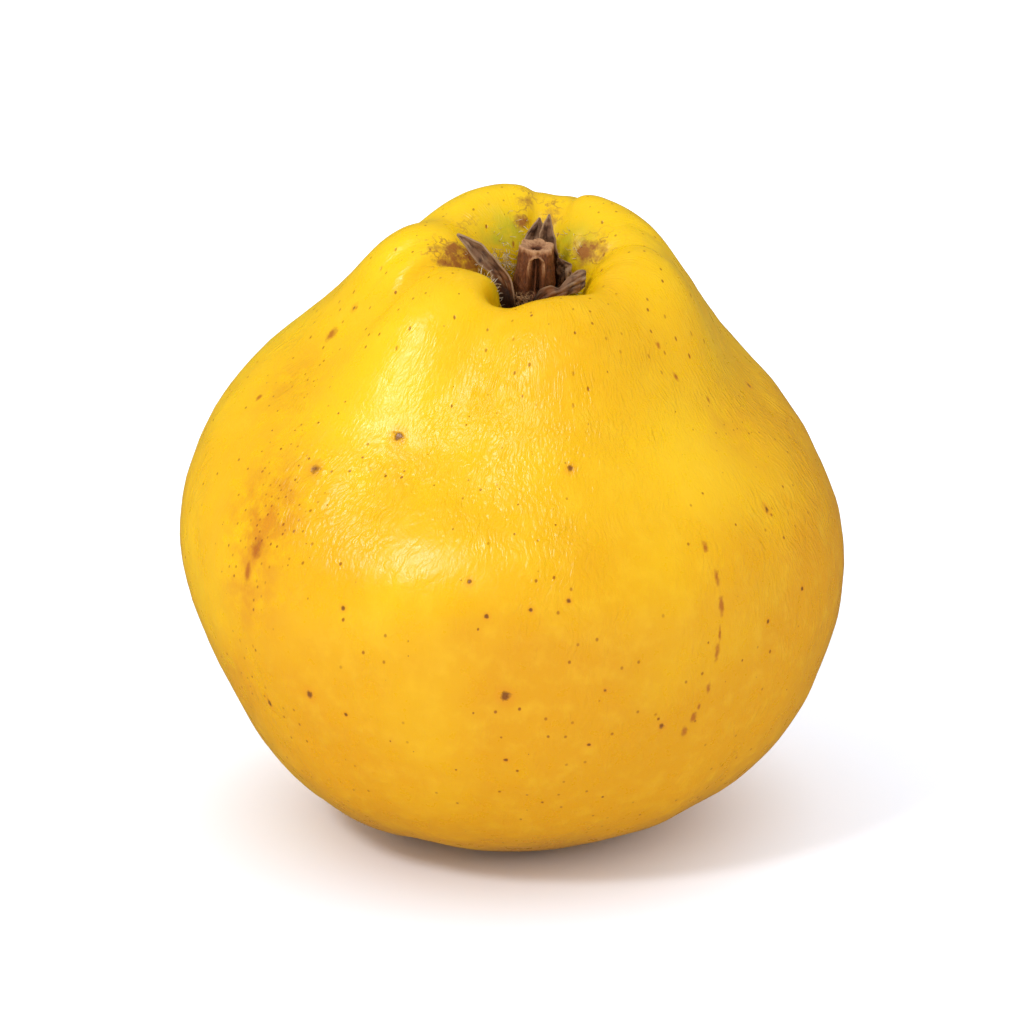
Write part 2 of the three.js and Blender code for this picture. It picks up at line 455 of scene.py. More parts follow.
    def _pores(self, tree: bpy.types.NodeTree, place: Any, sides: Any) -> bpy.types.Node:
        """Scatter the pores: one layout for the sides, and one for the crown, seen from above.

        Args:
            tree: The material's nodes.
            place: The place in the frame, in millimetres.
            sides: The place on the skin laid out flat.

        Returns:
            A node whose value is how strongly a pore covers each point.
        """
        crowd = add_node(tree, "TexNoise", {"Vector": place, "Scale": 1 / self.crowd, "Detail": 2.0})
        crowd = add_node(
            tree,
            "MapRange",
            {"Value": crowd, "From Min": 0.38, "From Max": 0.62, "To Min": 0.06, "To Max": 0.62},
        )
        height = add_node(tree, "SeparateXYZ", {0: place}).outputs["Z"]
        band = {"Value": height, "From Min": self.crown_from, "From Max": self.crown_to}
        low = add_node(tree, "MapRange", band | {"To Min": 1.0, "To Max": 0.0})
        high = add_node(tree, "MapRange", band | {"To Max": 0.55})
        crowd = add_node(tree, "Math", {0: crowd, 1: low}, operation="MULTIPLY")
        on_sides = self._dots(tree, sides, self.pore_gap, self.pore_radius, crowd)
        on_crown = self._dots(tree, place, self.crown_gap, self.pore_radius, high)
        return add_node(tree, "Math", {0: on_sides, 1: on_crown}, operation="MAXIMUM")

    def _smear(self, tree: bpy.types.NodeTree, place: Any, smeared: Any) -> bpy.types.Node:
        """Smear a brown film that breaks up into flakes and a fine net of lines at its edges.

        Args:
            tree: The material's nodes.
            place: The place in the frame, in millimetres.
            smeared: How smeared the skin is, from 0 to 1.

        Returns:
            A node whose value is how strongly the film covers each point.
        """
        web = add_node(tree, "TexNoise", {"Vector": place, "Scale": 1 / self.web, "Detail": 3.0})
        web = add_node(tree, "Math", {0: web, 1: 0.5}, operation="SUBTRACT")
        web = add_node(tree, "Math", {0: web}, operation="ABSOLUTE")
        web = add_node(tree, "MapRange", {"Value": web, "From Max": 0.03, "To Min": 1.0, "To Max": 0.0})
        webbed = add_node(tree, "MapRange", {"Value": smeared, "From Min": 0.1, "From Max": 0.5})
        web = add_node(tree, "Math", {0: web, 1: webbed}, operation="MULTIPLY")
        flakes = add_node(
            tree, "TexNoise", {"Vector": place, "Scale": 1 / self.flake, "Detail": 4.0, "Roughness": 0.65}
        )
        solid = add_node(tree, "Math", {0: flakes, 1: 2.2, 2: smeared}, operation="MULTIPLY_ADD")
        solid = add_node(
            tree, "MapRange", {"Value": solid, "From Min": 1.5, "From Max": 2.15, "To Max": 0.9}
        )
        solid = add_node(tree, "Math", {0: solid, 1: webbed}, operation="MULTIPLY")
        lines = add_node(tree, "Math", {0: web, 1: 0.7}, operation="MULTIPLY")
        return add_node(tree, "Math", {0: lines, 1: solid}, operation="MAXIMUM")

    def _dots(
        self, tree: bpy.types.NodeTree, flat: Any, gap: float, radius: float, crowd: Any
    ) -> bpy.types.Node:
        """Scatter dots of many sizes.

        Args:
            tree: The material's nodes.
            flat: The place on the skin laid out flat, in millimetres.
            gap: The distance between neighbouring dots, in millimetres.
            radius: The largest dot's radius, in millimetres.
            crowd: The share of the places that hold a dot.

        Returns:
            A node whose value is how strongly a dot covers each point.
        """
        cells = add_node(
            tree,
            "TexVoronoi",
            {"Vector": flat, "Scale": 1 / gap, "Randomness": 1.0},
            voronoi_dimensions="2D",
        )
        luck = add_node(tree, "SeparateColor", {"Color": cells.outputs["Color"]})
        size = add_node(
            tree, "Math", {0: crowd, 1: luck.outputs["Red"]}, operation="SUBTRACT", use_clamp=True
        )
        size = add_node(tree, "Math", {0: size, 1: 0.6}, operation="MULTIPLY", use_clamp=True)
        size = add_node(tree, "Math", {0: size, 1: radius / gap}, operation="MINIMUM")
        size = add_node(tree, "Math", {0: size, 1: 0.0001}, operation="MAXIMUM")
        inner = add_node(tree, "Math", {0: size, 1: 0.5}, operation="MULTIPLY")
        depth = add_node(tree, "MapRange", {"Value": luck.outputs["Green"], "To Min": 0.35, "To Max": 0.9})
        return add_node(
            tree,
            "MapRange",
            {
                "Value": cells.outputs["Distance"],
                "From Min": inner,
                "From Max": size,
                "To Min": depth,
                "To Max": 0.0,
            },
        )

    def _reach(
        self, tree: bpy.types.NodeTree, place: Any, ragged: Any, marks: Sequence[tuple[Vector, Mark]]
    ) -> bpy.types.Node:
        """Measure how far each point is from the nearest of some marks.

        Args:
            tree: The material's nodes.
            place: The place in the frame, in millimetres.
            ragged: A noise from 0 to 1 that makes the marks' outlines ragged.
            marks: Each mark with its place.

        Returns:
            A node whose value is the distance in the mark's own radii.
        """
        reach: Any = 9.0
        for centre, mark in marks:
            apart = add_node(tree, "VectorMath", {0: place, 1: centre}, operation="SUBTRACT")
            share = 1 / mark.radius
            scale = (share, share, share / mark.stretch)
            apart = add_node(tree, "VectorMath", {0: apart, 1: scale}, operation="MULTIPLY")
            apart = add_node(tree, "VectorMath", {0: apart}, operation="LENGTH").outputs["Value"]
            reach = add_node(tree, "Math", {0: apart, 1: reach}, operation="MINIMUM")
        wander = add_node(tree, "MapRange", {"Value": ragged, "To Min": -0.9, "To Max": 0.9})
        return add_node(tree, "Math", {0: reach, 1: wander}, operation="ADD")

    def _relief(self, tree: bpy.types.NodeTree, place: Any, grain: Any, mottle: Any) -> bpy.types.Node:
        """Wrinkle the skin from pole to pole.

        Args:
            tree: The material's nodes.
            place: The place in the frame, in millimetres.
            grain: The point attribute "grain".
            mottle: The skin's 3 mm mottle, which is also a slight unevenness.

        Returns:
            A node whose value is the skin's height, in millimetres.
        """
        sway = add_node(tree, "TexNoise", {"Vector": place, "Scale": 1 / self.sway, "Detail": 2.0})
        drawn = add_node(tree, "VectorMath", {0: grain, 1: (1.0, 1.0, 0.3)}, operation="MULTIPLY")
        drawn = add_node(
            tree,
            "VectorMath",
            {0: sway.outputs["Color"], 1: (4.0, 4.0, 2.0), 2: drawn},
            operation="MULTIPLY_ADD",
        )
        folds = add_node(
            tree, "TexNoise", {"Vector": drawn, "Scale": 1 / self.wrinkle, "Detail": 2.5, "Roughness": 0.5}
        )
        folds = add_node(tree, "Math", {0: folds, 1: 0.5}, operation="SUBTRACT")
        folds = add_node(tree, "Math", {0: folds}, operation="ABSOLUTE")
        patchy = add_node(tree, "TexNoise", {"Vector": place, "Scale": 1 / self.patchy, "Detail": 2.0})
        height = add_node(tree, "SeparateXYZ", {0: place}).outputs["Z"]
        # The wrinkles crowd together round the calyx, and the belly is taut, so they are shallower there.
        depth: Any = 1.0
        for value, start, end, first, last in (
            (patchy, 0.4, 0.6, 0.12, 0.48),
            (height, 66, 82, 1.0, 0.35),
            (height, 16, 52, 0.3, 1.0),
        ):
            share = add_node(
                tree,
                "MapRange",
                {"Value": value, "From Min": start, "From Max": end, "To Min": first, "To Max": last},
            )
            depth = add_node(tree, "Math", {0: share, 1: depth}, operation="MULTIPLY")
        relief = add_node(tree, "Math", {0: folds, 1: depth}, operation="MULTIPLY")
        return add_node(tree, "Math", {0: mottle, 1: 0.12, 2: relief}, operation="MULTIPLY_ADD")


@dataclass(frozen=True)
class DriedBark:
    """Dry bark and wood of the flower's stub and of the stalk: it gives the eye a dull, furrowed brown.

    Furrows run along the stub's axis, and crests and cut ends are paler than hollows.
    """

    name: str = "dry_bark"
    hollow: str = "#2c1206"
    side: str = "#7a421c"
    crest: str = "#c08e62"
    furrow: float = 0.45  # millimetres between furrows
    drawn: float = 3.0  # how many times longer than wide they are
    grit: float = 0.3  # millimetres across a grain

    def material(self) -> bpy.types.Material:
        """Build the bark's material.

        Returns:
            The material, which reads Object coordinates and the point attribute "worn".
        """
        material, tree = new_material(self.name)
        place = add_node(
            tree,
            "Mapping",
            {
                "Vector": add_node(tree, "TexCoord").outputs["Object"],
                "Rotation": (-CALYX_LEAN, 0, 0),
                "Scale": (1 / MM,) * 3,
            },
        )
        drawn = add_node(tree, "VectorMath", {0: place, 1: (1, 1, 1 / self.drawn)}, operation="MULTIPLY")
        furrows = add_node(
            tree,
            "TexNoise",
            {"Vector": drawn, "Scale": 1 / self.furrow, "Detail": 4.0, "Roughness": 0.65},
        )
        grit = add_node(tree, "TexNoise", {"Vector": place, "Scale": 1 / self.grit, "Detail": 2.0})
        # Paleness from wear, with painted shade in the stub's niche and pith hole; the stalk's is even.
        wear_and_shade = add_node(tree, "Attribute", attribute_name="wear_and_shade").outputs["Fac"]
        shade = add_node(tree, "Math", {0: furrows, 1: 0.9, 2: wear_and_shade}, operation="MULTIPLY_ADD")
        shade = add_node(tree, "Math", {0: grit, 1: 0.4, 2: shade}, operation="MULTIPLY_ADD")
        darker = add_node(tree, "MapRange", {"Value": shade, "From Min": 0.6, "From Max": 1.05})
        paler = add_node(tree, "MapRange", {"Value": shade, "From Min": 1.05, "From Max": 1.55})
        colour: Any = linear_colour(self.hollow)
        for amount, code in ((darker, self.side), (paler, self.crest)):
            colour = add_node(
                tree, "Mix", {"Factor": amount, "A": colour, "B": linear_colour(code)}, data_type="RGBA"
            )
        relief = add_node(tree, "Math", {0: furrows, 1: 0.3}, operation="MULTIPLY")
        normal = add_node(tree, "Bump", {"Height": relief, "Distance": MM, "Strength": 1.0})
        shader = add_node(
            tree, "BsdfPrincipled", {"Base Color": colour, "Roughness": 0.62, "Normal": normal}
        )
        add_node(tree, "OutputMaterial", {"Surface": shader})
        return material


@dataclass(frozen=True)
class DriedSepal:
    """A dead sepal's papery blade: it gives the eye a matt grey-brown with fine veins along it.

    The foot is a warmer brown than the tip, and the edges are paler. The lowest part of the blade is
    painted near-black as the shadow under its foot.
    """

    name: str = "dried_sepal"
    foot: str = "#74400f"
    blade: str = "#7f5b3f"
    vein: str = "#b3926f"
    dark: str = "#3d2011"
    # painted shadow over the lowest part of the blade
    foot_shadow: str = "#2a1206"
    vein_gap: float = 0.55  # millimetres between veins
    vein_sway: float = 1.5  # millimetres along which they bend
    stain_size: float = 1.2  # millimetres across a dark stain

    def material(self) -> bpy.types.Material:
        """Build the blade's material.

        Returns:
            The material, which reads the point attributes "blade" and "share".
        """
        material, tree = new_material(self.name)
        blade = add_node(tree, "Attribute", attribute_name="blade").outputs["Vector"]
        share = add_node(
            tree,
            "SeparateXYZ",
            {0: add_node(tree, "Attribute", attribute_name="share").outputs["Vector"]},
        )
        sway = add_node(tree, "TexNoise", {"Vector": blade, "Scale": 1 / self.vein_sway, "Detail": 2.0})
        drawn = add_node(tree, "VectorMath", {0: blade, 1: (1, 0.16, 1)}, operation="MULTIPLY")
        drawn = add_node(
            tree,
            "VectorMath",
            {0: sway.outputs["Color"], 1: (0.5, 0.2, 0), 2: drawn},
            operation="MULTIPLY_ADD",
        )
        veins = add_node(
            tree,
            "TexNoise",
            {"Vector": drawn, "Scale": 1 / self.vein_gap, "Detail": 3.0, "Roughness": 0.6},
        )
        stain = add_node(tree, "TexNoise", {"Vector": blade, "Scale": 1 / self.stain_size, "Detail": 4.0})
        stain = add_node(
            tree, "MapRange", {"Value": stain, "From Min": 0.46, "From Max": 0.66, "To Max": 0.85}
        )
        # shaded: painted shadow, full below 0.12 of the way along the blade and gone by 0.3
        browning, shaded = (
            add_node(
                tree,
                "MapRange",
                {
                    "Value": share.outputs["Y"],
                    "From Min": start,
                    "From Max": end,
                    "To Min": strength,
                    "To Max": 0.0,
                },
            )
            for start, end, strength in ((0.3, 0.6, 1.0), (0.12, 0.3, 0.9))
        )
        edge = add_node(tree, "Math", {0: share.outputs["X"]}, operation="ABSOLUTE")
        edge = add_node(tree, "MapRange", {"Value": edge, "From Min": 0.8, "From Max": 1.0, "To Max": 0.5})
        paler = add_node(
            tree, "MapRange", {"Value": veins, "From Min": 0.52, "From Max": 0.68, "To Max": 0.6}
        )
        paler = add_node(tree, "Math", {0: paler, 1: edge}, operation="MAXIMUM")
        colour: Any = linear_colour(self.blade)
        for amount, code in (
            (browning, self.foot),
            (stain, self.dark),
            (paler, self.vein),
            (shaded, self.foot_shadow),
        ):
            colour = add_node(
                tree, "Mix", {"Factor": amount, "A": colour, "B": linear_colour(code)}, data_type="RGBA"
            )
        relief = add_node(tree, "Math", {0: veins, 1: 0.2}, operation="MULTIPLY")
        normal = add_node(tree, "Bump", {"Height": relief, "Distance": MM, "Strength": 1.0})
        shader = add_node(
            tree, "BsdfPrincipled", {"Base Color": colour, "Roughness": 0.75, "Normal": normal}
        )
        add_node(tree, "OutputMaterial", {"Surface": shader})
        return material


@dataclass(frozen=True)
class DryThread:
    """Withered stamens, felt and down: it gives the eye fine, slightly shiny fluff of uneven tone."""

    name: str = "withered_threads"
    pale: str = "#dcc79c"
    brown: str = "#a3804f"
    tone_size: float = 0.7  # millimetres across which one thread differs from the next

    def material(self) -> bpy.types.Material:
        """Build the threads' material.

        Returns:
            The material, which reads Object coordinates.
        """
        material, tree = new_material(self.name)
        place = add_node(tree, "TexCoord").outputs["Object"]
        tone = add_node(
            tree, "TexNoise", {"Vector": place, "Scale": 1 / (self.tone_size * MM), "Detail": 1.0}
        )
        tone = add_node(tree, "MapRange", {"Value": tone, "From Min": 0.4, "From Max": 0.62})
        colour = add_node(
            tree,
            "Mix",
            {"Factor": tone, "A": linear_colour(self.brown), "B": linear_colour(self.pale)},
            data_type="RGBA",
        )
        shader = add_node(tree, "BsdfPrincipled", {"Base Color": colour, "Roughness": 0.55})
        add_node(tree, "OutputMaterial", {"Surface": shader})
        return material


# ---------------------------------------------------------------- the fruit


@dataclass(frozen=True)
class Crease:
    """A narrow fold in the crown that runs outwards from the calyx."""

    turn: float  # azimuth about the stub's foot, in degrees
    start: float  # how far out it begins and ends
    end: float
    depth: float
    width: float
    bend: float = 0.0  # degrees that it turns for each millimetre outwards

    def sink(self, turn: float, out: float) -> float:
        """Return how deep the fold is at a place.

        Args:
            turn: The place's azimuth about the stub's foot, in degrees.
            out: How far out from the foot it is, in millimetres.

        Returns:
            The depth, in millimetres.
        """
        off = math.radians(turn_between(turn, self.turn + self.bend * (out - self.start))) * out
        ends = smoothstep(self.start - 2, self.start + 1, out) * smoothstep(self.end + 4, self.end - 4, out)
        return self.depth * bump(off, 0, self.width) * ends


@dataclass
class Fruit:
    """The fruit's body: a fine skin grown over the CAD solid. Lengths are in millimetres."""

    levels: int = 2
    swell: float = 0.35  # height of the broad unevenness
    swell_size: float = 14.0
    pebble: float = 0.08  # height of the fine unevenness
    pebble_size: float = 3.5
    equator: float = 45.0  # how high and how far out the fruit is widest
    shoulder: float = 55.0  # the creases lie above this height
    still: float = 4.0  # and the skin is left alone at the table, up to here
    creases: tuple[Crease, ...] = (
        Crease(200, 5, 20, 1.4, 1.1, 0.3),
        Crease(190, 9, 22, 0.5, 0.9),
        Crease(84, 5, 10, 1.0, 1.2),
        Crease(63, 8, 18, 0.6, 1.2),
        Crease(88, 11, 18, 0.35, 1.0),
        Crease(247, 3.5, 11, 1.9, 1.2, -0.5),
        Crease(18, 8, 17, 0.4, 0.9),
        Crease(0, 8, 16, 0.35, 0.9),
        Crease(338, 7, 14, 0.4, 0.9),
    )
    spots: tuple[Mark, ...] = (
        Mark(OnSide(243, 61.1), 0.6),
        Mark(OnSide(228, 56.7), 0.6),
        Mark(OnSide(269, 32.2), 0.65),
        Mark(OnSide(234, 29.2), 0.45, 1.3),
        Mark(OnSide(242, 42), 0.28),
        Mark(OnSide(241, 27.4), 0.26),
        Mark(OnSide(263, 46.4), 0.3),
        Mark(OnSide(266, 42.5), 0.26),
        Mark(OnSide(269, 23), 0.24),
        Mark(OnSide(279, 44.3), 0.26),
        Mark(OnSide(273, 43.3), 0.26),
        Mark(OnSide(282, 58.5), 0.38),
        Mark(OnSide(285, 32.5), 0.24),
        Mark(OnSide(283, 24.8), 0.22),
        Mark(OnSide(316, 37.7), 0.24),
        Mark(OnSide(322, 50.8), 0.35, 1.7),
        Mark(OnSide(326, 40.1), 0.26),
        Mark(OnSide(296, 26.2), 0.38),
        Mark(OnSide(207, 73.8), 0.3, 1.5),
        Mark(OnSide(222, 25.4), 0.3, 3.5),
        Mark(OnSide(30, 52), 0.6),
        Mark(OnSide(62, 36), 0.45),
        Mark(OnSide(95, 58), 0.6, 1.4),
        Mark(OnSide(128, 33), 0.5),
        Mark(OnSide(160, 47), 0.4),
        Mark(OnSide(182, 30), 0.35),
        Mark(OnSide(352, 62), 0.4),
    )
    scars: tuple[Mark, ...] = (
        Mark(OnSide(205, 70.4), 0.7, 2.0),
        Mark(OnSide(199, 62), 0.35, 4.0),
        Mark(OnSide(222, 46.7), 0.8, 1.7),
        Mark(OnSide(221, 43.5), 0.5, 2.5),
        Mark(OnSide(313, 71), 0.3, 4.0),
        Mark(OnSide(315, 67), 0.3, 4.0),
        Mark(OnSide(324, 63.4), 0.22, 5.0),
        Mark(OnSide(304.3, 48.7), 0.38, 3.0),
        Mark(OnSide(305.2, 45), 0.3, 4.5),
        Mark(OnSide(305.6, 41.4), 0.33, 3.5),
        Mark(OnSide(305.2, 38), 0.18, 6.0),
        Mark(OnSide(304.9, 35.4), 0.3, 3.5),
        Mark(OnSide(304.1, 30.6), 0.28, 3.0),
        Mark(OnSide(302.9, 28), 0.2, 3.0),
        Mark(OnSide(302.2, 26.6), 0.42, 1.7),
        Mark(OnSide(300.8, 24.7), 0.42, 1.6),
        Mark(OnSide(75, 48), 0.4, 4.0),
        Mark(OnSide(76, 43), 0.3, 4.0),
        Mark(OnSide(140, 60), 0.5, 3.0),
    )
    green: tuple[Patch, ...] = (
        Patch(OnCrown(4.6, 3.2), 3.4, 0.95),
        Patch(OnCrown(-2.6, 4.6), 3.0, 0.9),
        Patch(OnCrown(-5.6, 4.2), 3.4, 0.4),
        Patch(OnCrown(5.6, 0.2), 2.6, 0.7),
        Patch(OnCrown(-5.4, -4.6), 2.8, 0.6),
        Patch(OnCrown(1.2, 5.4), 2.4, 0.6),
    )
    russet: tuple[Patch, ...] = (
        Patch(OnSide(221, 51), 7.5, 0.85),
        Patch(OnSide(222, 41), 6.0, 0.6),
        Patch(OnSide(213, 28), 6.0, 0.5),
        Patch(OnSide(207, 64), 7.0, 0.45),
        Patch(OnSide(244, 58), 4.5, 0.3),
        Patch(OnSide(330, 60), 7.0, 0.4),
        Patch(OnSide(40, 60), 9.0, 0.7),
        Patch(OnSide(110, 45), 10.0, 0.6),
        Patch(OnSide(155, 55), 7.0, 0.7),
        Patch(OnSide(75, 25), 8.0, 0.5),
    )
    pale: tuple[Patch, ...] = (
        # Painted highlight: the patch at 308 degrees pales the front right where a faint highlight falls;
        # the other two are paler skin.
        Patch(OnSide(308, 57), 9.0, 0.6),
        Patch(OnSide(240, 61), 8.0, 0.4),
        Patch(OnSide(60, 62), 10.0, 0.5),
    )
    smears_and_crease_shade: tuple[Patch, ...] = (
        Patch(OnCrown(6.9, 1.9), 1.4, 1.0),
        Patch(OnCrown(8.6, 1.2), 3.6, 0.55),
        # Partly painted shade: these brown smears along the left crease also darken it where shade falls
        # beside the left sepal.
        Patch(OnCrown(-5.6, -1.6), 1.7, 1.0),
        Patch(OnCrown(-6.2, -0.3), 1.5, 1.0),
        Patch(OnCrown(-8.0, -0.7), 1.5, 1.0),
        Patch(OnCrown(-10.2, -1.5), 1.5, 0.8),
        Patch(OnCrown(-7.6, -2.2), 2.0, 1.0),
        Patch(OnCrown(-10.0, -2.8), 2.3, 0.85),
        Patch(OnCrown(-12.6, -3.2), 2.8, 0.5),
        Patch(OnCrown(-1.4, 6.3), 1.3, 1.0),
        Patch(OnCrown(-0.8, 8.4), 1.4, 0.6),
        Patch(OnCrown(-0.5, 10.4), 1.6, 0.4),
        Patch(OnCrown(2.4, 7.4), 1.5, 0.85),
        Patch(OnCrown(2.7, 9.4), 1.6, 0.5),
        Patch(OnCrown(-9.0, 4.0), 2.6, 0.35),
        Patch(OnCrown(-2.2, -5.2), 1.4, 0.8),
    )

    def build(self) -> bpy.types.Object:
        """Grow the fine skin and dress it.

        Returns:
            The finished fruit.
        """
        mesh = bmesh.new()
        mesh.from_mesh(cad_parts["fruit"].data)
        bmesh.ops.remove_doubles(mesh, verts=mesh.verts, dist=0.001 * MM)
        bmesh.ops.join_triangles(
            mesh,
            faces=mesh.faces,
            angle_face_threshold=math.radians(60),
            angle_shape_threshold=math.radians(60),
        )
        piece = new_piece("fruit_skin", mesh)
        subdivide(piece, self.levels)
        self._roughen(piece.data)
        surface = surface_of(piece.data)
        spots, scars = (
            [(land(surface, mark.place), mark) for mark in marks] for marks in (self.spots, self.scars)
        )
        self._tint(piece.data, surface)
        finish_piece(piece, QuinceSkin().material(spots, scars), Slot.SKIN, "fruit")
        return piece

    def _roughen(self, data: bpy.types.Mesh) -> None:
        """Raise, sink and crease the skin along its normals, and leave its foot on the table.

        Args:
            data: The skin's mesh.
        """
        foot = calyx_frame().translation / MM
        normals = [v.normal.copy() for v in data.vertices]
        for vertex, normal in zip(data.vertices, normals):
            p = vertex.co / MM
            rise = self.swell * noise.fractal(p / self.swell_size, 1.0, 2.0, 2)
            rise += self.pebble * noise.fractal(p / self.pebble_size, 1.0, 2.0, 2)
            if p.z > self.shoulder:
                out = math.hypot(p.x - foot.x, p.y - foot.y)
                turn = math.degrees(math.atan2(p.y - foot.y, p.x - foot.x))
                rise -= sum(c.sink(turn, out) for c in self.creases)
            rise *= smoothstep(0.0, self.still, p.z)
            vertex.co += normal * rise * MM

    def _tint(self, data: bpy.types.Mesh, surface: BVHTree) -> None:
        """Write the point attributes that the skin's finish reads.

        "tint" holds how green, russet, pale and smeared the skin is; its pale share also paints a highlight
        on the front right, and its smeared share also paints shade in the left crease. "grain" holds a
        point on a cylinder, which says how far round the skin a place is, and how far along it.

        Args:
            data: The skin's mesh.
            surface: A search tree over it.
        """
        tint = data.attributes.new("tint", "FLOAT_COLOR", "POINT")
        grain = data.attributes.new("grain", "FLOAT_VECTOR", "POINT")
        layers = [
            [(land(surface, p.place), p) for p in patches]
            for patches in (self.green, self.russet, self.pale, self.smears_and_crease_shade)
        ]
        foot = calyx_frame().translation / MM
        for i, vertex in enumerate(data.vertices):
            p = vertex.co / MM
            tint.data[i].color = [
                min(1.0, sum(a.strength * bump((p - c).length, 0, a.radius) for c, a in layer))
                for layer in layers
            ]
            crownwards = smoothstep(20, 80, p.z)
            x, y = p.x - foot.x * crownwards, p.y - foot.y * crownwards
            angle, out = math.atan2(y, x), math.hypot(x, y)
            inward = min(1.0, max(-1.0, (p.z - self.equator) / 20))
            length = p.z + 0.8 * (self.equator - out) * inward
            round_it = GRAIN_RADIUS * Vector((math.cos(angle), math.sin(angle)))
            grain.data[i].vector = (*round_it, length)


def surface_of(data: bpy.types.Mesh) -> BVHTree:
    """Return a search tree over a mesh, in millimetres."""
    faces = [tuple(p.vertices) for p in data.polygons]
    return BVHTree.FromPolygons([v.co / MM for v in data.vertices], faces)


def land(surface: BVHTree, place: OnSide | OnCrown) -> Vector:
    """Find a place on the fruit.

    Args:
        surface: The fruit's search tree.
        place: The place.

    Returns:
        Where it is, in millimetres.

    Raises:
        ValueError: If the place misses the fruit.
    """
    start, heading = place.line()
    hit = surface.ray_cast(start, heading)[0]
    if hit is None:
        raise ValueError(f"{place} misses the fruit")
    return hit


def spun(profile: Sequence[tuple[float, float]], cuts: Sequence[int], steps: int) -> bmesh.types.BMesh:
    """Spin a profile round the Z axis into a closed form.

    Args:
        profile: Each corner's radius and height, from the axis round to the axis.
        cuts: How many times each stretch between two corners is cut.
        steps: How many steps the full turn has.

    Returns:
        The form, in the profile's units.
    """
    mesh = bmesh.new()
    corners = [mesh.verts.new((radius, 0, height)) for radius, height in profile]
    edges = [mesh.edges.new(pair) for pair in zip(corners, corners[1:])]
    for edge, count in zip(edges, cuts):
        bmesh.ops.subdivide_edges(mesh, edges=[edge], cuts=count)
    bmesh.ops.spin(
        mesh,
        geom=mesh.verts[:] + mesh.edges[:],
        axis=(0, 0, 1),
        cent=(0, 0, 0),
        angle=math.tau,
        steps=steps,
        use_merge=True,
    )
    bmesh.ops.remove_doubles(mesh, verts=mesh.verts, dist=WELD)
    return mesh


# ---------------------------------------------------------------- the dried calyx


def calyx_frame() -> Matrix:
    """Place the calyx's own frame: millimetres from the stub's foot, with +Z along the stub's axis.

    Returns:
        The matrix that takes the calyx's frame to the shared frame, in metres.
    """
    low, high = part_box("woody_stub")
    turned = Matrix.Rotation(CALYX_LEAN, 4, "X")
    foot = (low + high) / 2 - turned.to_3x3() @ Vector((0, 0, STUB_HEIGHT / 2 + STUB_LIFT)) * MM
    return Matrix.Translation(foot) @ turned @ Matrix.Scale(MM, 4)


